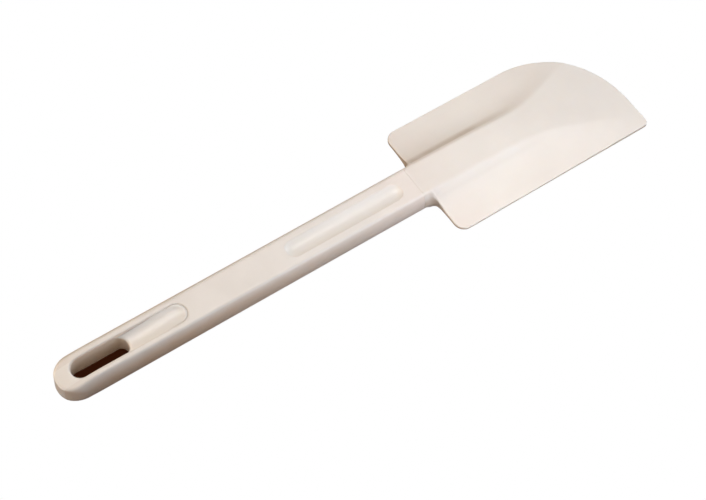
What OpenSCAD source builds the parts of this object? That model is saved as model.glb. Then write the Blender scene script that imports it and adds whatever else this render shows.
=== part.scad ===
// Bowl scraper: a rigid moulded handle with a flexible moulded blade.
//
// The tool lies flat. X runs along its length from the butt of the handle to the
// tip of the blade, Y runs across the blade and Z is up. The origin is under the
// middle of the tool, on the surface that it lies on. Both faces are alike, so
// every shape is drawn about a mid-plane and then lifted by half the thickness.

/* [Tool] */
// Length from the butt of the handle to the tip of the blade
tool_l = 343; // [340:1:350]
// Thickness of the handle and of the root of the blade
tool_t = 16; // [15:0.5:18]

/* [Handle] */
// Width of the handle across its bulging sides
handle_w = 23.2; // [22:0.2:25]
// Width of the handle's flat top and bottom faces
flat_w = 16.6; // [15:0.2:17.4]
// Length of the rounded butt
butt_l = 9.6; // [8:0.2:12]

/* [Hanging slot] */
// Distance from the butt to the slot
slot_start = 7.3; // [6.5:0.1:9]
// Length of the slot
slot_l = 30.9; // [26:0.1:34]
// Width of the slot
slot_w = 10.1; // [9:0.1:10.8]
// Radius of the two corners at the blade end of the slot
slot_corner_r = 4; // [3:0.2:4.4]

/* [Recesses] */
// Width of the channel beyond the slot and of the thumb groove
recess_w = 10.3; // [9:0.1:10.8]
// Distance from the butt to the far end of the channel
channel_end = 70.6; // [60:0.2:80]
// Height of the channel's upright edge
channel_lip = 0.6; // [0.2:0.1:1]
// Depth of the channel's floor below its upright edge
channel_dish = 0.9; // [0.5:0.1:1.2]
// Distance from the butt to the start of the thumb groove
groove_start = 129; // [115:1:129]
// Length of the thumb groove
groove_l = 71.2; // [60:0.2:72]
// Depth of the thumb groove
groove_depth = 1.3; // [0.8:0.1:1.6]

/* [Tang] */
// Length of the tang inside the blade
tang_l = 60; // [50:1:70]
// Width of the tang
tang_w = 11; // [9:0.5:13]
// Thickness of the tang
tang_t = 6; // [5:0.5:7]
// Diameter of the holes that lock the blade to the tang
lock_hole_d = 5; // [4:0.5:6]
// Number of locking holes
lock_hole_n = 3; // [2:1:4]

/* [Blade] */
// Width of the blade
blade_w = 69; // [66:1:74]
// Length of the blade's wings
blade_l = 128.5; // [122:0.5:131]
// Length of the collar between the wings and the handle
collar_l = 6.5; // [5:0.5:7.5]
// Radius of the large rounded corner of the tip
bowl_corner_r = 50; // [40:1:56]
// Radius of the small corner of the tip
tip_corner_r = 3; // [2:0.5:6]
// Radius of the two rear corners of the wings
rear_corner_r = 6; // [4:0.5:8]
// Radius of the fillets between the collar and the wings
neck_fillet_r = 4; // [3:0.5:5]
// Thickness of the edges of the wings
edge_t = 2.1; // [1.6:0.1:3]
// Width of the spine's flat top
spine_w = 18.4; // [17.4:0.2:19.4]
// Distance across the wings in which the spine loses most of its height
scoop_fall = 3.8; // [3:0.1:5]

/* [Hidden] */
$fn = 96;
eps = 0.01;
half_t = tool_t / 2;
half_w = handle_w / 2;
half_flat = flat_w / 2;
half_spine = spine_w / 2;
half_blade = blade_w / 2;
half_slot = slot_w / 2;
half_recess = recess_w / 2;
wing_x = tool_l - blade_l;
seam_x = wing_x - collar_l;
slot_end = slot_start + slot_l;
// The sides of the handle bulge in an arc from one flat face to the other.
bulge = half_w - half_flat;
bulge_r = (half_t * half_t + bulge * bulge) / (2 * bulge);
bulge_centre = half_w - bulge_r;
// The spine's top and bottom slope evenly to the thickness of the tip.
tip_rise = (half_t - edge_t / 2) / (tool_l - seam_x);
lock_hole_pitch = tang_l / (lock_hole_n + 0.5);
butt_step = 5;
scoop_step = 1.2;
plastic = [0.90, 0.86, 0.82];
rubber = [0.93, 0.90, 0.87];

// Radius of the circle whose chord is 2 * half_chord and whose rise is rise
function dish_r(half_chord, rise) = (half_chord * half_chord + rise * rise) / (2 * rise);

// Half thickness of the blade at a distance from its centre line
function scoop_z(y) =
    edge_t / 2 + (half_t - edge_t / 2) * exp(-max(0, y - half_spine) / scoop_fall);

// Puts a tool drawn from its butt and about its mid-plane on the surface
module place() translate([-tool_l / 2, 0, half_t]) children();

// Extrudes a section drawn in the YZ plane along X
module along_x(from, to)
    translate([from, 0, 0]) rotate([90, 0, 90]) linear_extrude(to - from) children();

// Cross-section shared by the handle and the collar: flat faces, bulging sides
module bar_section() {
    square([flat_w, tool_t], center = true);
    for (side = [-1, 1])
        intersection() {
            translate([side * bulge_centre, 0]) circle(bulge_r);
            translate([side * (half_flat + half_w) / 2, 0])
                square([half_w - half_flat + eps, tool_t], center = true);
        }
}

// Plan of the handle, with its flattened round butt
module handle_plan() {
    arc = [for (a = [90:butt_step:270]) [butt_l + butt_l * cos(a), half_w * sin(a)]];
    polygon(concat(arc, [[seam_x, -half_w], [seam_x, half_w]]));
}

// Hanging slot: round at the butt, squarer towards the blade
module hanging_slot()
    translate([0, 0, -tool_t]) linear_extrude(2 * tool_t) {
        translate([slot_start + half_slot, 0]) circle(half_slot);
        translate([slot_start + half_slot, -half_slot])
            square([slot_l - half_slot - slot_corner_r, slot_w]);
        translate([slot_end - slot_corner_r - eps, slot_corner_r - half_slot])
            square([slot_corner_r + eps, slot_w - 2 * slot_corner_r]);
        for (side = [-1, 1])
            translate([slot_end - slot_corner_r, side * (half_slot - slot_corner_r)])
                circle(slot_corner_r);
    }

// Round-bottomed, round-ended cutter; its bottom is at depth below z = 0
module dish(from, to, half_chord, depth) {
    r = dish_r(half_chord, depth);
    translate([0, 0, r - depth]) {
        translate([from + half_chord, 0, 0]) rotate([0, 90, 0])
            cylinder(r = r, h = to - from - 2 * half_chord);
        for (x = [from + half_chord, to - half_chord])
            translate([x, 0, 0]) sphere(r);
    }
}

// Shallow channel that carries the slot's outline on towards the blade
module channel() {
    start = slot_start + half_slot;
    straight_l = channel_end - half_recess - start;
    translate([start, -half_recess, -channel_lip]) cube([straight_l, recess_w, tool_t]);
    translate([channel_end - half_recess, 0, -channel_lip]) cylinder(r = half_recess, h = tool_t);
    intersection() {
        translate([0, 0, -channel_lip])
            dish(start - half_recess, channel_end, half_recess, channel_dish);
        translate([start, -half_recess, -tool_t])
            cube([channel_end - start, recess_w, 2 * tool_t]);
    }
}

// Thumb groove
module groove() dish(groove_start, groove_start + groove_l, half_recess, groove_depth);

// Tang of the handle: the blade is moulded round it and through its holes
module tang()
    difference() {
        union() {
            translate([seam_x - eps, -tang_w / 2, -tang_t / 2])
                cube([tang_l - tang_w / 2 + eps, tang_w, tang_t]);
            translate([seam_x + tang_l - tang_w / 2, 0, -tang_t / 2])
                cylinder(d = tang_w, h = tang_t);
        }
        for (i = [1:lock_hole_n])
            translate([seam_x + i * lock_hole_pitch, 0, -tang_t])
                cylinder(d = lock_hole_d, h = 2 * tang_t);
    }

module handle()
    color(plastic) place() {
        difference() {
            intersection() {
                along_x(0, seam_x) bar_section();
                translate([0, 0, -tool_t]) linear_extrude(2 * tool_t) handle_plan();
            }
            hanging_slot();
            for (turn = [0, 180])
                rotate([turn, 0, 0]) translate([0, 0, half_t]) {
                    channel();
                    groove();
                }
        }
        tang();
    }

// Plan of the wings: small rear corners, one large and one small corner at the tip
module wing_plan()
    difference() {
        union() {
            translate([wing_x, rear_corner_r - half_blade])
                square([blade_l - bowl_corner_r, blade_w - 2 * rear_corner_r]);
            translate([wing_x + rear_corner_r, -half_blade])
                square([blade_l - bowl_corner_r - rear_corner_r, blade_w]);
            for (side = [-1, 1])
                translate([wing_x + rear_corner_r, side * (half_blade - rear_corner_r)])
                    circle(rear_corner_r);
            translate([tool_l - bowl_corner_r, half_blade - bowl_corner_r])
                circle(bowl_corner_r);
            translate([tool_l - bowl_corner_r - eps, tip_corner_r - half_blade])
                square([bowl_corner_r + eps, blade_w - bowl_corner_r - tip_corner_r]);
            translate([tool_l - bowl_corner_r - eps, -half_blade])
                square([bowl_corner_r - tip_corner_r + eps, blade_w - bowl_corner_r]);
            translate([tool_l - tip_corner_r, tip_corner_r - half_blade])
                circle(tip_corner_r);
        }
        // The large corner's circle is cut back to the blade's own rectangle.
        translate([0, -3 * blade_w / 2]) square([2 * tool_l, blade_w]);
        translate([-blade_w, -blade_w]) square([wing_x + blade_w, 2 * blade_w]);
    }

// Fillets in the corners between the collar and the rear edges of the wings
module neck_fillets()
    for (side = [-1, 1])
        difference() {
            translate([wing_x - neck_fillet_r, side > 0 ? 0 : -half_w - neck_fillet_r])
                square([neck_fillet_r + eps, half_w + neck_fillet_r]);
            translate([wing_x - neck_fillet_r, side * (half_w + neck_fillet_r)])
                circle(neck_fillet_r);
        }

// Cross-section of the blade: the spine falls away into two thin wings
module scoop_section() {
    run = [for (y = [half_spine:scoop_step:half_blade]) [y, scoop_z(y)]];
    quarter = concat(run, [[half_blade, scoop_z(half_blade)]]);
    n = len(quarter);
    right_top = quarter;
    right_low = [for (i = [n - 1:-1:0]) [quarter[i][0], -quarter[i][1]]];
    left_low = [for (i = [0:n - 1]) [-quarter[i][0], -quarter[i][1]]];
    left_top = [for (i = [n - 1:-1:0]) [-quarter[i][0], quarter[i][1]]];
    polygon(concat(right_top, right_low, left_low, left_top));
}

// Side view of the blade: a wedge that thins towards the tip
module wedge_profile()
    polygon([
        [seam_x, -half_t], [tool_l, -half_t + tip_rise * (tool_l - seam_x)],
        [tool_l, half_t - tip_rise * (tool_l - seam_x)], [seam_x, half_t]
    ]);

module blade()
    color(rubber) place()
        difference() {
            intersection() {
                union() {
                    intersection() {
                        along_x(wing_x - neck_fillet_r, tool_l) scoop_section();
                        translate([0, 0, -tool_t]) linear_extrude(2 * tool_t) {
                            wing_plan();
                            neck_fillets();
                        }
                    }
                    along_x(seam_x, wing_x + eps) bar_section();
                }
                rotate([90, 0, 0]) linear_extrude(blade_w + 2, center = true) wedge_profile();
            }
            tang();
        }

handle();
blade();
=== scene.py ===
"""Looks of the bowl scraper: a rigid moulded handle with a flexible moulded blade.

Both mouldings are drawn in millimetres from the butt of the handle and about the
tool's mid-plane: x along the tool, y across it, z up. Each is drawn as its upper
half, mirrored, and then lifted on to the surface and scaled to metres.
"""
from math import atan2, cos, exp, pi, radians, sin, sqrt

import bmesh
import bpy
import numpy as np
from mathutils import Matrix, Vector
from mathutils.geometry import delaunay_2d_cdt


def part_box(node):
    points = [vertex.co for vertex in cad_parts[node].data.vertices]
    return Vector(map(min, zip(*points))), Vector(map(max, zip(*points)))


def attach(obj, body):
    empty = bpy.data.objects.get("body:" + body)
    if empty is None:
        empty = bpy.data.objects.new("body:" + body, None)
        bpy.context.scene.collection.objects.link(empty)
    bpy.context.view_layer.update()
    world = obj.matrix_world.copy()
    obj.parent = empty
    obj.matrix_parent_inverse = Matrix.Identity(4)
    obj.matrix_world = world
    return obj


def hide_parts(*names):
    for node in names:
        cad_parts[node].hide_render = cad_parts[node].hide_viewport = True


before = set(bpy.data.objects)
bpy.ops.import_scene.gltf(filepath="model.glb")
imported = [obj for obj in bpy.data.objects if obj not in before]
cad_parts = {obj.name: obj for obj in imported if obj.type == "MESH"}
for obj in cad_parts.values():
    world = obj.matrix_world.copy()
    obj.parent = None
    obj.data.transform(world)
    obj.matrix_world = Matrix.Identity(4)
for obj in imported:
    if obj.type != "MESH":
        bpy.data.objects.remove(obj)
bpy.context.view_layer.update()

# ---------------------------------------------------------------- sizes, in mm
MM = 0.001
HANDLE_LO, HANDLE_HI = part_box("handle")
BLADE_LO, BLADE_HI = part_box("blade")
BUTT = HANDLE_LO[0]  # in metres, like the boxes
HALF_W = HANDLE_HI[1] / MM
HALF_T = (HANDLE_HI[2] - HANDLE_LO[2]) / 2 / MM
SEAM = (BLADE_LO[0] - BUTT) / MM
TIP = (BLADE_HI[0] - BUTT) / MM
HALF_BLADE = BLADE_HI[1] / MM
WELD = 0.002  # vertices closer than this are joined

HALF_FLAT, HALF_FLAT_AT_SEAM = 8.0, 9.0  # the handle's flat faces, to their sharp edges
EDGE_R = 2.0  # rounding between a flat face and a bulging side
SIDE_STEPS, EDGE_STEPS = 13, 6  # levels up a bulging side and round its edge
SEAM_R = 0.15  # rounding of both mouldings where they meet

BUTT_L, BUTT_TOP_L = 11.6, 8.6  # length of the round butt at mid-height and on top
BUTT_POWER, BUTT_TOP_POWER = 2.0, 2.5  # 2 is an ellipse, more is squarer
BUTT_EDGE_R = 1.2
BUTT_REACH = 0.9  # the smooth butt stands this far proud of the solid one
BUTT_THIN, BUTT_THIN_L = 0.33, 20.0  # the faces draw together by this share over this length
BUTT_STEPS = 40

RECESS_HALF = 5.1  # half width of the slot, the channel and the groove
HALF_TURN = 24  # steps round each round end of theirs
RIM_R = 0.9  # rounding of the slot's and the channel's edges
SLOT_START, SLOT_L = 7.3, 30.9
SLOT_CORNER_R = 4.9  # of the slot's corners at its blade end
CHANNEL_END = 70.6
CHANNEL_LIP, CHANNEL_LIP_AT_SLOT = 0.25, 1.9  # upright edge round the channel's floor
CHANNEL_DISH = 1.1  # depth of the floor's middle below its edges
GROOVE_START, GROOVE_L, GROOVE_DEPTH = 129.0, 71.2, 1.5

TANG_L, TANG_W, TANG_T = 60.0, 11.0, 6.0
LOCK_HOLE_R, LOCK_HOLES = 2.5, 3

WING = TIP - 128.5  # the wings' rear edges
REAR_R, NECK_R, BOWL_R, TIP_R = 6.0, 4.0, 50.0, 3.0
EDGE_T = 2.1  # thickness of the wings at their edges
WING_EDGE_R = 0.55
SHOULDER = 9.35  # half width of the spine's top
SPINE_CROWN = 1.6  # 1 thins the spine evenly, more leaves it thicker behind the tip
WING_FALL, WING_FALL_AT_TIP = 3.6, 6.0  # distances over which the spine's sides fall away
SHOULDER_SOFT, SHOULDER_SOFT_AT_TIP = 0.2, 0.7  # rounding, as a share of the spine's height
FADE_START, FADE_END = 255.0, 315.0  # the shoulders grow softer between these
FLARE_START, FLARE_RATE, FLARE_SOFT = 282.5, 0.33, 14.0  # the spine widens beyond its start
# (distance across the blade, share): painted shade in the corners between the wings and the spine
ROOT_BAND = [(-14.5, 0.0), (-12.5, 0.15), (-10.5, 0.0), (10.2, 0.0), (11.8, 1.0), (13.2, 0.9),
             (15.5, 0.0)]

# ---------------------------------------------------------------- light
LAMP_POWER = 9.86  # watts at 1 m for a lamp of strength 1
FILL_COLOUR, FILL_BELOW = (0.026, 0.014, 0.008), (0.03, 0.015, 0.006)  # all round, from below
# name, azimuth and elevation in degrees, then in metres the aim along X, the distance and the
# size, then the strengths of red, green and blue
LAMPS = [
    ("top", 60, 75, 0.0, 0.8, 0.35, (0.330, 0.324, 0.322)),
    ("back_high", 120, 65, 0.0, 0.8, 0.35, (0.205, 0.200, 0.192)),
    ("back_low", 135, 30, 0.0, 0.8, 0.35, (0.310, 0.234, 0.157)),
    ("near", -90, 25, 0.08, 0.26, 0.2, (0.735, 0.740, 0.770)),
    ("above_blade", 0, 90, 0.17, 0.3, 0.2, (0.110, 0.122, 0.135)),
    ("butt", 180, 4, 0.0, 0.8, 0.35, (0.330, 0.300, 0.275)),
    ("tip", 0, 10, 0.0, 0.8, 0.35, (0.255, 0.286, 0.315)),
]


def steps(start, end, count):
    """count + 1 even values from start to end."""
    return [start + (end - start) * i / count for i in range(count + 1)]


def arc(cx, cy, r, start, end, count):
    """Points of an arc, angles in degrees."""
    return [(cx + r * cos(radians(a)), cy + r * sin(radians(a))) for a in steps(start, end, count)]


def blend(a, b, share):
    """a where share is 0 and b where it is 1."""
    return a + (b - a) * share


def ease(t):
    """0 below 0, 1 above 1, smooth between."""
    t = min(1.0, max(0.0, t))
    return t * t * (3 - 2 * t)


def soft_min(a, b, k):
    """The smaller of two values, rounded where they are closer than k."""
    near = max(k - abs(a - b), 0) / k
    return min(a, b) - near * near * k / 4


def soft_max(a, b, k):
    """The larger of two values, rounded where they are closer than k."""
    return -soft_min(-a, -b, k)


# ---------------------------------------------------------------- mesh helpers
def add_ring(bm, points):
    """A vertex for each point."""
    return [bm.verts.new(p) for p in points]


def loft(bm, ring_a, ring_b, closed=True):
    """Quads between two rows of vertices of the same length."""
    n = len(ring_a)
    for i in range(n if closed else n - 1):
        j = (i + 1) % n
        bm.faces.new((ring_a[i], ring_a[j], ring_b[j], ring_b[i]))


def stack(bm, rings):
    """Rows of vertices, one for each ring of points, with quads between them."""
    rows = []
    for points in rings:
        rows.append(add_ring(bm, points))
        if len(rows) > 1:
            loft(bm, rows[-2], rows[-1])
    return rows


def ring_edges(ring):
    """The edges along a closed row of vertices."""
    return [next(e for e in a.link_edges if e.other_vert(a) is b)
            for a, b in zip(ring, ring[1:] + ring[:1])]


def fill_flat(bm, loops):
    """Triangles over the flat region between closed loops."""
    edges = [e for loop in loops for e in ring_edges(loop)]
    bmesh.ops.triangle_fill(bm, use_beauty=True, use_dissolve=False, edges=edges, normal=(0, 0, 1))


def mirror_down(bm):
    """Adds the lower half, the mirror of what is drawn, and joins the two at z = 0."""
    copy = bmesh.ops.duplicate(bm, geom=bm.verts[:] + bm.edges[:] + bm.faces[:])["geom"]
    verts = [g for g in copy if isinstance(g, bmesh.types.BMVert)]
    bmesh.ops.scale(bm, vec=(1, 1, -1), verts=verts)
    bmesh.ops.remove_doubles(bm, verts=bm.verts[:], dist=WELD)
    bmesh.ops.recalc_face_normals(bm, faces=bm.faces[:])


def new_object(name, data):
    """An object with the given data, in the scene."""
    made = bpy.data.objects.new(name, data)
    bpy.context.scene.collection.objects.link(made)
    return made


def new_mesh(name, bm):
    """A mesh from a drawing, which is used up."""
    mesh = bpy.data.meshes.new(name)
    bm.to_mesh(mesh)
    bm.free()
    return mesh


def make_piece(bm, name):
    """An object from a drawing in mm, standing where the frame has it."""
    to_frame = Matrix.Translation((BUTT, 0, HALF_T * MM)) @ Matrix.Scale(MM, 4)
    bmesh.ops.transform(bm, matrix=to_frame, verts=bm.verts[:])
    mesh = new_mesh(name, bm)
    mesh.shade_smooth()
    return new_object(name, mesh)


def combine(piece, tool, operation):
    """Applies a boolean of piece and tool to piece."""
    boolean = piece.modifiers.new("combine", "BOOLEAN")
    boolean.operation, boolean.object, boolean.solver = operation, tool, "EXACT"
    graph = bpy.context.evaluated_depsgraph_get()
    mesh = bpy.data.meshes.new_from_object(piece.evaluated_get(graph))
    piece.modifiers.clear()
    old, piece.data = piece.data, mesh
    bpy.data.meshes.remove(old)
    mesh.name = piece.name
    mesh.shade_smooth()


# ---------------------------------------------------------------- bar of the handle and the collar
def bulge_circle(half_flat):
    """Centre and radius of the arc of a side, from one flat face to the other."""
    rise = HALF_W - half_flat
    r = (HALF_T**2 + rise**2) / (2 * rise)
    return HALF_W - r, r


def bar_levels(half_flat):
    """(half width, height) up the bar's side, from its widest line to its flat face."""
    centre, r = bulge_circle(half_flat)
    edge_y = centre + sqrt((r - EDGE_R) ** 2 - (HALF_T - EDGE_R) ** 2)
    turn = atan2(HALF_T - EDGE_R, edge_y - centre)
    side = [(centre + r * cos(a), r * sin(a)) for a in steps(0, turn, SIDE_STEPS)]
    edge = [(edge_y + EDGE_R * cos(a), HALF_T - EDGE_R + EDGE_R * sin(a))
            for a in steps(turn, pi / 2, EDGE_STEPS)]
    return side + edge[1:]


BUTT_LEVELS = bar_levels(HALF_FLAT)
LEVELS = bar_levels(HALF_FLAT_AT_SEAM)
FLAT_EDGE = LEVELS[-1][0]


def rounding(z, r):
    """How far a wall of radius r at its top edge has drawn in at height z."""
    over = max(0.0, z - (HALF_T - r))
    return r - sqrt(max(0.0, r * r - over * over))


def bar_end(w, z, side):
    """Where a ring at height z crosses the seam; side is -1 for the handle, +1 for the blade."""
    face = SEAM + side * rounding(z, SEAM_R)
    near = [(face + side * SEAM_R * (1 - cos(a)), w - SEAM_R * (1 - sin(a)))
            for a in steps(pi / 2, 0, 4)]
    half = near[:-1] + [(face, y) for y in steps(w - SEAM_R, 0, 8)]
    return half + [(x, -y) for x, y in half[-2::-1]]


# ---------------------------------------------------------------- handle
def butt_curve(w, z):
    """Round butt at height z, from its -y side to its +y side."""
    up = (HALF_W - w) / (HALF_W - BUTT_LEVELS[-1][0])
    length = blend(BUTT_L, BUTT_TOP_L, up)
    power = 2 / blend(BUTT_POWER, BUTT_TOP_POWER, up)
    start = rounding(z, BUTT_EDGE_R) - BUTT_REACH
    quarter = pi / 2 - 1e-6  # a hair less, so that its cosine is above 0
    curve = []
    for a in steps(-quarter, quarter, BUTT_STEPS):
        side = 1 if a > 0 else -1
        curve.append((start + length * (1 - cos(a) ** power), side * w * abs(sin(a)) ** power))
    return curve


def handle_ring(level, inset=0.0):
    """The handle's outline at one level; its flat faces widen towards the seam."""
    (butt_w, butt_z), (end_w, end_z) = BUTT_LEVELS[level], LEVELS[level]
    butt_w, end_w = butt_w - inset, end_w - inset
    butt = [(x + inset, y, butt_z) for x, y in butt_curve(butt_w, butt_z)]
    end = [(x - inset, y, end_z) for x, y in bar_end(end_w, end_z, -1)]
    side = [(blend(butt[-1][0], end[0][0], t), blend(butt_w, end_w, t), blend(butt_z, end_z, t))
            for t in steps(0, 1, 36)[1:-1]]
    return butt + side + end + [(x, -y, z) for x, y, z in side[::-1]]


def stadium(start, end, half, inset):
    """Slot-shaped outline, its corners round, with the same number of points at any inset."""
    r = half - inset
    left = arc(start + half, 0, r, 270, 90, HALF_TURN)
    right = arc(end - half, 0, r, 90, -90, HALF_TURN)
    top = [(x, r) for x in steps(start + half, end - half, 24)[1:-1]]
    return left + top + right + [(x, -y) for x, y in top[::-1]]


def rim_rings(outline):
    """Rings over a rounded rim, from the flat face to the wall; outline(inset) gives a plan."""
    margin = 0.5
    flat = [[(x, y, HALF_T) for x, y in outline(-RIM_R - margin)]]
    turn = [[(x, y, HALF_T - RIM_R * (1 - cos(a))) for x, y in outline(-RIM_R * (1 - sin(a)))]
            for a in steps(0, pi / 2, 4)]
    return flat + turn


def groove(bm):
    """Thumb groove, in rings that shrink on to its centre line. Its outer row is returned."""
    half = RECESS_HALF
    dish_r = (half**2 + GROOVE_DEPTH**2) / (2 * GROOVE_DEPTH)

    def level(inset):
        """A ring on the dish, or on the flat face where inset is below 0."""
        depth = GROOVE_DEPTH - dish_r + sqrt(dish_r**2 - min(half, half - inset) ** 2)
        outline = stadium(GROOVE_START, GROOVE_START + GROOVE_L, half, inset)
        return [(x, y, HALF_T - depth) for x, y in outline]

    flat, dish = [-0.8, -0.25], [0.0] + steps(0.25, half - 0.3, 11)
    rows = stack(bm, [level(inset) for inset in flat + dish])
    bm.faces.new(rows[-1])
    return rows[0]


def slot_wall_x(y):
    """Where the slot's blade end stands at a distance y from the centre line."""
    over = max(0.0, abs(y) - (RECESS_HALF - SLOT_CORNER_R))
    return SLOT_START + SLOT_L - SLOT_CORNER_R + sqrt(max(0.0, SLOT_CORNER_R**2 - over**2))


def channel_end_x(y):
    """Where the channel's round end stands at a distance y from the centre line."""
    return CHANNEL_END - RECESS_HALF + sqrt(max(0.0, RECESS_HALF**2 - y * y))


def lip_depth(x):
    """Height of the channel's upright edge, which fades away from the slot."""
    slot_end = SLOT_START + SLOT_L
    fade = ease((x - slot_end) / (CHANNEL_END - RECESS_HALF - slot_end))
    return blend(CHANNEL_LIP_AT_SLOT, CHANNEL_LIP, fade)


def floor_z(x, y):
    """Height of the channel's concave floor."""
    inside = min(1.0, (channel_end_x(y) - x) / RECESS_HALF)
    across = (1 - (y / RECESS_HALF) ** 2) * (1 - (1 - inside) ** 2)
    return HALF_T - lip_depth(x) - CHANNEL_DISH * max(0.0, across)


def slot_wall(bm, mouth):
    """The slot's own wall, from its mouth down to the mid-plane."""
    last = mouth
    for down in steps(1, 0, 7)[1:]:
        ring = add_ring(bm, [(v.co.x, v.co.y, v.co.z * down) for v in mouth])
        loft(bm, last, ring)
        last = ring


def recess(bm):
    """Hanging slot and the channel beyond it. The outer row of their rim is returned."""
    columns = [RECESS_HALF * sin(a) for a in steps(pi / 2, -pi / 2, HALF_TURN)]
    centre = SLOT_START + RECESS_HALF
    split = slot_wall_x(RECESS_HALF)  # where the walls pass from the slot to the channel
    end = channel_end_x(RECESS_HALF)
    slot_rows, floor_rows = 12, 22
    slot_xs, floor_xs = steps(centre, split, slot_rows), steps(split, end, floor_rows)

    def outline(inset):
        r = RECESS_HALF - inset
        left = arc(centre, 0, r, 270, 90, HALF_TURN)
        side = [(x, r) for x in slot_xs[1:-1] + floor_xs[:-1]]
        right = [(end + r * cos(a), r * sin(a)) for a in steps(pi / 2, -pi / 2, HALF_TURN)]
        return left + side + right + [(x, -y) for x, y in side[::-1]]

    foot_ring = [(x, y, HALF_T - lip_depth(x)) for x, y in outline(0)]
    wall = stack(bm, rim_rings(outline) + [foot_ring])
    foot = wall[-1]

    at_split = HALF_TURN + slot_rows
    at_end = at_split + floor_rows
    upper = foot[at_split:at_end]  # +y wall of the channel
    far = foot[at_end:at_end + HALF_TURN + 1]
    lower = foot[at_end + HALF_TURN + 1:]
    # the floor, one row of vertices for each column from the +y wall to the -y wall
    rows = [upper + [far[0]]]
    for y, end_vert in zip(columns[1:-1], far[1:-1]):
        xs = steps(slot_wall_x(y), channel_end_x(y), floor_rows)[:-1]
        rows.append(add_ring(bm, [(x, y, floor_z(x, y)) for x in xs]) + [end_vert])
    rows.append(lower[:floor_rows][::-1] + [far[-1]])
    for a, b in zip(rows, rows[1:]):
        loft(bm, a, b, closed=False)
    slot_wall(bm, foot[:at_split] + [row[0] for row in rows] + lower[floor_rows:])
    return wall[0]


def make_handle():
    """The bar of the handle, without its tang."""
    bm = bmesh.new()
    rings = [handle_ring(level) for level in range(len(LEVELS))]
    rings.append(handle_ring(-1, inset=0.5))
    top = stack(bm, rings)[-1]
    fill_flat(bm, [top, recess(bm), groove(bm)])
    for v in bm.verts:
        v.co.z *= 1 - BUTT_THIN * max(0.0, 1 - v.co.x / BUTT_THIN_L) ** 2
    mirror_down(bm)
    return make_piece(bm, "handle_moulding")


def make_tang():
    """The handle's tang, which is hidden in the blade, with its locking holes."""
    bm = bmesh.new()
    half, end = TANG_W / 2, SEAM + TANG_L
    start = SEAM - 1  # it begins inside the handle
    outline = arc(end - half, 0, half, 90, -90, 24) + [(start, -half), (start, half)]
    pitch = TANG_L / (LOCK_HOLES + 0.5)
    centres = [SEAM + (i + 1) * pitch for i in range(LOCK_HOLES)]
    holes = [arc(x, 0, LOCK_HOLE_R, 0, 360, 48)[:-1] for x in centres]
    walls = [stack(bm, [[(x, y, z) for x, y in loop] for z in (-TANG_T / 2, TANG_T / 2)])
             for loop in [outline] + holes]
    for face in zip(*walls):
        fill_flat(bm, face)
    bmesh.ops.recalc_face_normals(bm, faces=bm.faces[:])
    return make_piece(bm, "tang")


# ---------------------------------------------------------------- blade
def spine_z(x):
    """Height of the spine's top, which thins towards the tip, faster as it goes."""
    along = max(0.0, (x - SEAM) / (TIP - SEAM))
    return HALF_T - (HALF_T - EDGE_T / 2) * along**SPINE_CROWN


def flare(x):
    """How far the spine's sides have spread at x, as they run out towards the tip."""
    return FLARE_RATE * soft_max(x - FLARE_START, 0, FLARE_SOFT)


def fade(x):
    """0 where the spine's shoulders are crisp, 1 where they have faded into the wings."""
    return ease((x - FADE_START) / (FADE_END - FADE_START))


def blade_z(x, y):
    """Half the thickness of the blade."""
    off_centre = abs(y) - flare(x)
    fall = blend(WING_FALL, WING_FALL_AT_TIP, fade(x))
    soft = blend(SHOULDER_SOFT, SHOULDER_SOFT_AT_TIP, fade(x))
    share = soft_min(1.0, exp(min(SHOULDER - off_centre, fall) / fall), soft)
    return blend(EDGE_T / 2, spine_z(x), share)


def wing_outline():
    """Plan of the blade from the seam's +y end round the tip to its -y end.

    Each point is (x, y, kind): kind is 0 on the collar, 1 on the wings, and goes from
    one to the other round the neck.
    """
    side = [(x, HALF_W) for x in steps(SEAM + SEAM_R, WING - NECK_R, 6)[:-1]]
    corner_steps = 14
    neck = arc(WING - NECK_R, HALF_W + NECK_R, NECK_R, -90, 0, corner_steps)
    rear = [(WING, y) for y in steps(HALF_W + NECK_R, HALF_BLADE - REAR_R, 16)[1:-1]]
    corner = arc(WING + REAR_R, HALF_BLADE - REAR_R, REAR_R, 180, 90, corner_steps)
    half = side + neck + rear + corner
    neck_kinds = [ease(t) for t in steps(0, 1, corner_steps)]
    kinds = [0] * len(side) + neck_kinds + [1] * (len(rear) + len(corner))
    long_edge = [(x, HALF_BLADE) for x in steps(WING + REAR_R, TIP - BOWL_R, 60)[1:-1]]
    bowl = arc(TIP - BOWL_R, HALF_BLADE - BOWL_R, BOWL_R, 90, 0, 64)
    tip = [(TIP, y) for y in steps(HALF_BLADE - BOWL_R, TIP_R - HALF_BLADE, 14)[1:-1]]
    small = arc(TIP - TIP_R, TIP_R - HALF_BLADE, TIP_R, 0, -90, 8)
    near_edge = [(x, -HALF_BLADE) for x in steps(TIP - TIP_R, WING + REAR_R, 90)[1:-1]]
    around = long_edge + bowl + tip + small + near_edge
    points = half + around + [(x, -y) for x, y in half[::-1]]
    return points, kinds + [1] * len(around) + kinds[::-1]


def inward(points):
    """Unit normals of an open outline that is walked clockwise, pointing inwards."""
    p = np.array(points)
    d = np.gradient(p, axis=0)
    d /= np.linalg.norm(d, axis=1)[:, None]
    return np.stack([d[:, 1], -d[:, 0]], axis=1)


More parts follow.
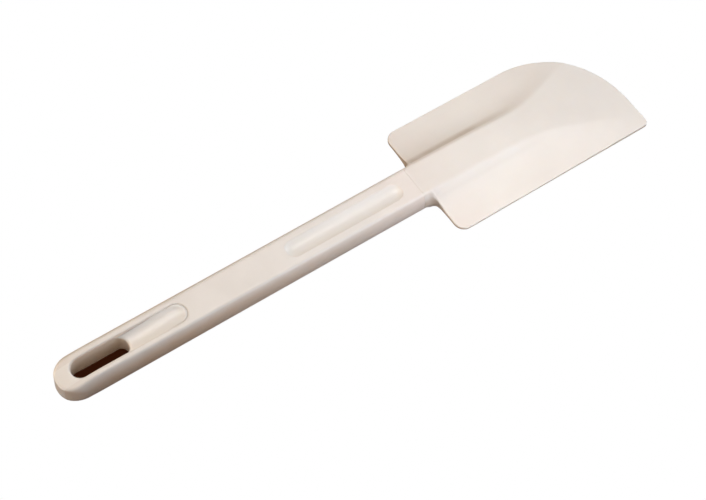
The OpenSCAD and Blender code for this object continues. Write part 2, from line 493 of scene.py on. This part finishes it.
def edge_profile(level, kind, height):
    """[inset, height] of ring number level: the bar's bulge, or a wing's rounded edge."""
    w, z = LEVELS[level]
    wall_levels, last = 8, len(LEVELS) - 1
    r = WING_EDGE_R
    if level < wall_levels:
        wall = (0.0, (height - r) * level / wall_levels)
    else:
        a = pi / 2 * (level - wall_levels) / (last - wall_levels)
        wall = (r * (1 - cos(a)), height - r + r * sin(a))
    bulge = (HALF_W - w, z / HALF_T * height)
    return [blend(b, c, kind) for b, c in zip(bulge, wall)]


def blade_rings():
    """Rings of points up the edge of the blade and the collar."""
    points, kinds = wing_outline()
    normals = inward(points)
    top_insets = [blend(HALF_W - FLAT_EDGE, WING_EDGE_R, kind) for kind in kinds]
    heights = [blade_z(p[0] + n[0] * inset, p[1] + n[1] * inset)
               for p, n, inset in zip(points, normals, top_insets)]
    rings = []
    for level, (w, z) in enumerate(LEVELS):
        ring = []
        for p, n, kind, top in zip(points, normals, kinds, heights):
            inset, height = edge_profile(level, kind, top)
            ring.append((p[0] + n[0] * inset, p[1] + n[1] * inset, height))
        end = bar_end(w, z, 1)[1:-1]
        rings.append(ring + [(x, y, z) for x, y in end[::-1]])
    return rings


def inside(points, loop, margin):
    """Which points lie inside a closed loop and further than margin from it."""
    p, q = np.array(points), np.array(loop)
    r = np.roll(q, -1, axis=0)
    crosses = (q[:, 1] > p[:, 1, None]) != (r[:, 1] > p[:, 1, None])
    rise = np.where(r[:, 1] == q[:, 1], 1, r[:, 1] - q[:, 1])
    at = q[:, 0] + (p[:, 1, None] - q[:, 1]) * (r[:, 0] - q[:, 0]) / rise
    odd = (crosses & (p[:, 0, None] < at)).sum(1) % 2 == 1
    along = r - q
    share = ((p[:, None] - q) * along).sum(2) / (along**2).sum(1)
    foot = q + np.clip(share, 0, 1)[..., None] * along
    clear = np.linalg.norm(p[:, None] - foot, axis=2).min(1) > margin
    return p[odd & clear]


def fill_curved(bm, ring, height, step_x, step_y):
    """Triangles over the curved region inside a ring; height(x, y) gives their z."""
    loop = [(v.co.x, v.co.y) for v in ring]
    low, high = np.min(loop, axis=0), np.max(loop, axis=0)
    grid = [(x, y) for x in np.arange(low[0], high[0], step_x)
            for y in np.arange(low[1], high[1], step_y)]
    free = inside(grid, loop, 0.45 * step_y)
    plan = [Vector(p) for p in loop] + [Vector(p) for p in free]
    inner_only, tolerance = 1, 1e-6
    found = delaunay_2d_cdt(plan, [], [list(range(len(loop)))], inner_only, tolerance)
    triangles, sources = found[2], found[3]
    verts = ring + add_ring(bm, [(x, y, height(x, y)) for x, y in free])
    for triangle in triangles:
        bm.faces.new([verts[sources[i][0]] for i in triangle])


def make_blade():
    """The blade and its collar, without the cavity for the tang."""
    bm = bmesh.new()
    top = stack(bm, blade_rings())[-1]
    fill_curved(bm, top, blade_z, step_x=1.6, step_y=0.9)
    bmesh.ops.remove_doubles(bm, verts=bm.verts[:], dist=WELD)
    mirror_down(bm)
    return make_piece(bm, "blade_moulding")


# ---------------------------------------------------------------- materials
class Nodes:
    """A new node material, with short calls for the nodes that both mouldings need."""

    def __init__(self, name):
        self.material = bpy.data.materials.new(name)
        self.material.use_nodes = True
        self.tree = self.material.node_tree
        self.shader = self.tree.nodes["Principled BSDF"]
        self.place = self.add("ShaderNodeTexCoord").outputs["Object"]
        self.x, self.y, self.z = self.split(self.place)

    def add(self, kind, **settings):
        """A new node of a kind, with its settings."""
        node = self.tree.nodes.new(kind)
        for key, value in settings.items():
            setattr(node, key, value)
        return node

    def link(self, source, target):
        self.tree.links.new(source, target)

    def split(self, vector):
        """The X, Y and Z of a vector."""
        node = self.add("ShaderNodeSeparateXYZ")
        self.link(vector, node.inputs[0])
        return node.outputs

    def noise(self, scale, detail=3.0, stretch=(1, 1, 1)):
        """Noise with its features 1 / scale metres apart, longer where stretch is small."""
        mapping = self.add("ShaderNodeMapping")
        mapping.inputs["Scale"].default_value = stretch
        self.link(self.place, mapping.inputs["Vector"])
        node = self.add("ShaderNodeTexNoise")
        node.inputs["Scale"].default_value = scale
        node.inputs["Detail"].default_value = detail
        self.link(mapping.outputs["Vector"], node.inputs["Vector"])
        return node.outputs[0]

    def ramp(self, source, stops):
        """Colours or grey values along a source from 0 to 1."""
        node = self.add("ShaderNodeValToRGB")
        points = node.color_ramp.elements
        while len(points) < len(stops):
            points.new(0.5)
        for point, (position, value) in zip(points, stops):
            point.position = position
            point.color = (*value, 1) if isinstance(value, tuple) else (value, value, value, 1)
        self.link(source, node.inputs["Fac"])
        return node.outputs["Color"]

    def mix(self, share, source, colour, kind="MIX"):
        """A source, changed towards or by a colour; the share is a source too."""
        node = self.add("ShaderNodeMix", data_type="RGBA", blend_type=kind)
        self.link(share, node.inputs["Factor"])
        self.link(source, node.inputs["A"])
        node.inputs["B"].default_value = (*colour, 1)
        return node.outputs["Result"]

    def math(self, operation, a, b=0.0, c=0.0):
        """The result of an operation on sources and numbers."""
        node = self.add("ShaderNodeMath", operation=operation)
        for socket, value in zip(node.inputs, (a, b, c)):
            if isinstance(value, float):
                socket.default_value = value
            else:
                self.link(value, socket)
        return node.outputs[0]

    def bumps(self, layers):
        """Bump nodes one after the other, from (height, depth in metres)."""
        last = None
        for height, depth in layers:
            node = self.add("ShaderNodeBump")
            node.inputs["Distance"].default_value = depth
            self.link(height, node.inputs["Height"])
            if last:
                self.link(last, node.inputs["Normal"])
            last = node.outputs["Normal"]
        self.link(last, self.shader.inputs["Normal"])

    def crevice_shade(self, reach):
        """0 in the open and towards 1 where other surfaces are close; it sets where shade is
        painted.
        """
        node = self.add("ShaderNodeAmbientOcclusion", samples=8)
        node.inputs["Distance"].default_value = reach
        return self.ramp(node.outputs["AO"], [(0.15, 1.0), (0.85, 0.0)])


def translucent(shader, weight):
    """Lets a share of the light into the material, where red spreads the furthest."""
    shader.inputs["Subsurface Weight"].default_value = weight
    shader.inputs["Subsurface Radius"].default_value = (1.0, 0.7, 0.5)
    shader.inputs["Subsurface Scale"].default_value = 1.5 * MM


def recess_mask(n):
    """1 on the floors of the channel and the groove, which have a mould polish and a painted
    sheen.
    """
    full_depth, margin = 0.5, 0.2
    height = n.math("ABSOLUTE", n.math("SUBTRACT", n.z, HALF_T * MM))
    depth = n.math("SUBTRACT", HALF_T * MM, height)
    deep = n.math("MULTIPLY", depth, 1 / (full_depth * MM))
    near = n.math("LESS_THAN", n.math("ABSOLUTE", n.y), (RECESS_HALF + margin) * MM)
    return n.math("MINIMUM", n.math("MULTIPLY", deep, near), 1.0)


def steep_shade_mask(n, upright, level):
    """1 on faces whose normals' heights are below upright, 0 above level, a little patchy; shade
    is painted on steep faces with it.
    """
    normal = n.split(n.add("ShaderNodeTexCoord").outputs["Normal"])
    lean = n.math("ABSOLUTE", normal["Z"])
    patches = n.ramp(n.noise(90, 3), [(0.3, 0.75), (0.7, 1.0)])
    return n.math("MULTIPLY", n.ramp(lean, [(upright, 1.0), (level, 0.0)]), patches)


def within(n, value, low, high):
    """1 where a length in metres lies between two lengths in mm."""
    above = n.math("GREATER_THAN", value, low * MM)
    return n.math("MULTIPLY", above, n.math("LESS_THAN", value, high * MM))


def slot_mask(n):
    """1 in the hanging slot and its rim."""
    rim = 0.4
    start, half = BUTT / MM + SLOT_START - rim, RECESS_HALF + rim
    along = within(n, n.x, start, start + SLOT_L + 2 * rim)
    return n.math("MULTIPLY", along, within(n, n.y, -half, half))


def along_mask(n, stops):
    """Grey values along the tool, each at its distance from the butt in mm."""
    along = n.math("MULTIPLY_ADD", n.x, 1 / (TIP * MM), -BUTT / (TIP * MM))
    return n.ramp(along, [(x / TIP, value) for x, value in stops])


def handle_plastic():
    """Stiff off-white plastic: faintly mottled, satin, with a fine grain and rubbed streaks,
    painted shade on its sides, in its slot and crevices, and a painted sheen on its recess floors.
    """
    n = Nodes("handle_plastic")
    colour = n.ramp(n.noise(60, 4), [(0.3, (0.748, 0.708, 0.668)), (0.7, (0.790, 0.753, 0.713))])
    specks = n.ramp(n.noise(2600, 1), [(0.66, 0.0), (0.74, 1.0)])
    colour = n.mix(n.math("MULTIPLY", specks, 0.10), colour, (0.52, 0.42, 0.33))
    # warmer towards the blade
    near_blade = along_mask(n, [(165, 0.0), (203, 1.0)])
    colour = n.mix(near_blade, colour, (1.055, 1.02, 1.01), "MULTIPLY")
    # painted shade: darker and browner on its steep sides, most towards the butt, and inside the
    # slot
    sides = steep_shade_mask(n, 0.35, 0.75)
    shade_towards_butt = along_mask(n, [(0, 0.5), (20, 1.0), (62, 1.0), (198, 0.25)])
    colour = n.mix(n.math("MULTIPLY", sides, shade_towards_butt), colour, (0.98, 0.76, 0.58), "MULTIPLY")
    colour = n.mix(n.math("MULTIPLY", sides, slot_mask(n)), colour, (1.0, 0.75, 0.52))
    # painted sheen: paler and greyer on the recess floors; the same mask makes them less rough
    polish_and_sheen = recess_mask(n)
    colour = n.mix(n.math("MULTIPLY", polish_and_sheen, 0.7), colour, (0.84, 0.82, 0.79))
    # painted shade: darker and browner where other surfaces are close
    colour = n.mix(n.math("MULTIPLY", n.crevice_shade(7 * MM), 0.4), colour, (0.50, 0.36, 0.27))
    n.link(colour, n.shader.inputs["Base Color"])
    streaks = n.noise(900, 2, stretch=(0.1, 1, 1))
    rough = n.math("MULTIPLY_ADD", streaks, 0.08, 0.34)
    rough = n.math("SUBTRACT", rough, n.math("MULTIPLY", polish_and_sheen, 0.08))
    n.link(rough, n.shader.inputs["Roughness"])
    n.bumps([(n.noise(1800, 2), 0.012 * MM), (streaks, 0.003 * MM), (n.noise(120, 2), 0.05 * MM)])
    translucent(n.shader, 0.10)
    return n.material


def root_shade_mask(n):
    """1 along the roots of the wings, in the corner beside the spine, where shade is painted;
    stronger on the +y side.
    """
    reach = 40
    across = n.math("MULTIPLY_ADD", n.y, 1 / (2 * reach * MM), 0.5)
    band = n.ramp(across, [(0.5 + y / (2 * reach), value) for y, value in ROOT_BAND])
    run = along_mask(n, [(WING + 35, 1.0), (WING + 72, 0.0)])
    patches = n.ramp(n.noise(150, 2), [(0.25, 0.7), (0.75, 1.0)])
    return n.math("MULTIPLY", n.math("MULTIPLY", band, run), patches)


def blade_rubber():
    """Flexible off-white rubber: matt, softly mottled, with flow lines from its moulding, and
    painted shade in its crevices, beside the spine and on its steep faces.
    """
    n = Nodes("blade_rubber")
    colour = n.ramp(n.noise(35, 4), [(0.3, (0.800, 0.750, 0.698)), (0.7, (0.838, 0.792, 0.740))])
    flow = n.noise(70, 3, stretch=(0.25, 1, 1))
    lines = n.math("MULTIPLY", n.ramp(flow, [(0.45, 0.0), (0.75, 1.0)]), 0.12)
    colour = n.mix(lines, colour, (0.76, 0.69, 0.62))
    # a little darker near the handle
    collar = along_mask(n, [(SEAM + 10, 1.0), (SEAM + 32, 0.0)])
    colour = n.mix(collar, colour, (0.965, 0.95, 0.95), "MULTIPLY")
    specks = n.ramp(n.noise(2200, 1), [(0.66, 0.0), (0.76, 1.0)])
    colour = n.mix(n.math("MULTIPLY", specks, 0.08), colour, (0.55, 0.46, 0.38))
    # painted shade: darker and browner where other surfaces are close
    colour = n.mix(n.math("MULTIPLY", n.crevice_shade(7 * MM), 0.6), colour, (0.58, 0.41, 0.28))
    # painted shade in the corners beside the spine, mostly on the +y side
    colour = n.mix(n.math("MULTIPLY", root_shade_mask(n), 0.9), colour, (0.63, 0.56, 0.49), "MULTIPLY")
    # painted shade: darker and browner on steep faces, such as the wings' edges and the collar's
    # sides
    edges = n.math("MULTIPLY", steep_shade_mask(n, 0.1, 0.35), 0.7)
    colour = n.mix(edges, colour, (0.78, 0.66, 0.54), "MULTIPLY")
    n.link(colour, n.shader.inputs["Base Color"])
    rough = n.math("MULTIPLY_ADD", n.noise(400, 3), 0.16, 0.32)
    n.link(rough, n.shader.inputs["Roughness"])
    n.bumps([(n.noise(1500, 3), 0.014 * MM), (flow, 0.06 * MM)])
    translucent(n.shader, 0.15)
    return n.material


# ---------------------------------------------------------------- stage
def flat_sheet(name, low, high, z, colour):
    """A level sheet that glows in one colour and lights nothing else."""
    bm = bmesh.new()
    corners = [(low[0], low[1]), (high[0], low[1]), (high[0], high[1]), (low[0], high[1])]
    bm.faces.new(add_ring(bm, [(x, y, z) for x, y in corners]))
    sheet = new_object(name, new_mesh(name, bm))
    material = bpy.data.materials.new(name)
    material.use_nodes = True
    tree = material.node_tree
    tree.nodes.remove(tree.nodes["Principled BSDF"])
    glow = tree.nodes.new("ShaderNodeEmission")
    glow.inputs["Color"].default_value = (*colour, 1)
    tree.links.new(glow.outputs[0], tree.nodes["Material Output"].inputs[0])
    sheet.data.materials.append(material)
    sheet.visible_diffuse = sheet.visible_glossy = sheet.visible_shadow = False


def make_floor():
    """Pale floor, and the deep shade on it under the handle, which shows through the slot."""
    floor_half = 4
    flat_sheet("floor", (-floor_half, -floor_half), (floor_half, floor_half), -0.4 * MM, (1, 1, 1))
    margin = 1.0
    side = (RECESS_HALF + margin) * MM
    start, end = [BUTT + x * MM for x in (SLOT_START - margin, SLOT_START + SLOT_L + margin)]
    flat_sheet("floor_shade", (start, -side), (end, side), -0.2 * MM, (0.026, 0.006, 0.002))


def make_camera():
    """The view: a camera 0.8 m from the tool, its shifts in metres and its lens in mm."""
    azimuth, elevation, roll = radians(43.80), radians(59.83), radians(10.13)
    distance, shift_right, shift_up = 0.798, 0.00066, 0.01441
    right = Vector((cos(azimuth), -sin(azimuth), 0))
    away = Vector((sin(azimuth), cos(azimuth), 0))
    back = -cos(elevation) * away + sin(elevation) * Vector((0, 0, 1))
    up = sin(elevation) * away + cos(elevation) * Vector((0, 0, 1))
    turned_right = cos(roll) * right + sin(roll) * up
    turned_up = cos(roll) * up - sin(roll) * right
    camera = new_object("camera", bpy.data.cameras.new("camera"))
    place = (Vector((0, 0, HALF_T * MM)) + distance * back
             - shift_right * turned_right - shift_up * turned_up)
    axes = Matrix((turned_right, turned_up, back)).transposed()
    camera.matrix_world = Matrix.Translation(place) @ axes.to_4x4()
    camera.data.lens = 79.57
    camera.data.sensor_width = 36
    bpy.context.scene.camera = camera


def make_world():
    """White behind the tool, a faint warm light all round it and a browner one from below."""
    world = bpy.data.worlds.new("studio")
    bpy.context.scene.world = world
    world.use_nodes = True
    tree = world.node_tree
    fill = tree.nodes["Background"]
    way = tree.nodes.new("ShaderNodeSeparateXYZ")
    tree.links.new(tree.nodes.new("ShaderNodeTexCoord").outputs["Generated"], way.inputs[0])
    below = tree.nodes.new("ShaderNodeMapRange")
    below.inputs["From Min"].default_value, below.inputs["From Max"].default_value = -0.9, -0.6
    below.inputs["To Min"].default_value, below.inputs["To Max"].default_value = 1.0, 0.0
    tree.links.new(way.outputs["Z"], below.inputs["Value"])
    hue = tree.nodes.new("ShaderNodeMix")
    hue.data_type = "RGBA"
    hue.inputs["A"].default_value = (*FILL_COLOUR, 1)
    hue.inputs["B"].default_value = (*FILL_BELOW, 1)
    tree.links.new(below.outputs["Result"], hue.inputs["Factor"])
    tree.links.new(hue.outputs["Result"], fill.inputs["Color"])
    white = tree.nodes.new("ShaderNodeBackground")
    white.inputs["Color"].default_value = (1, 1, 1, 1)
    seen = tree.nodes.new("ShaderNodeLightPath")
    mix = tree.nodes.new("ShaderNodeMixShader")
    tree.links.new(seen.outputs["Is Camera Ray"], mix.inputs[0])
    tree.links.new(fill.outputs[0], mix.inputs[1])
    tree.links.new(white.outputs[0], mix.inputs[2])
    tree.links.new(mix.outputs[0], tree.nodes["World Output"].inputs["Surface"])


def soft_lamp(name, azimuth, elevation, middle, distance, size, colour):
    """A round soft box that faces a point on the tool's centre line, azimuth from +X."""
    lamp = bpy.data.lights.new(name, "AREA")
    lamp.shape, lamp.size = "DISK", size
    strongest = max(colour)
    lamp.energy = LAMP_POWER * distance**2 * strongest
    lamp.color = [c / strongest for c in colour]
    holder = new_object(name, lamp)
    az, el = radians(azimuth), radians(elevation)
    aim = Vector((cos(el) * cos(az), cos(el) * sin(az), sin(el)))
    holder.location = Vector((middle, 0, HALF_T * MM)) + distance * aim
    holder.rotation_euler = aim.to_track_quat("Z", "Y").to_euler()
    holder.visible_camera = False


make_camera()
make_world()
for lamp in LAMPS:
    soft_lamp(*lamp)
make_floor()
handle = make_handle()
blade = make_blade()
tang = make_tang()
combine(handle, tang, "UNION")
combine(blade, tang, "DIFFERENCE")
bpy.data.objects.remove(tang)

for piece, node, slot, material in (
    (handle, "handle", "handle_plastic", handle_plastic()),
    (blade, "blade", "blade_rubber", blade_rubber()),
):
    piece.data.materials.clear()
    piece.data.materials.append(material)
    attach(piece, "root")
    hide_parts(node)

bpy.context.scene.view_settings.view_transform = "Standard"
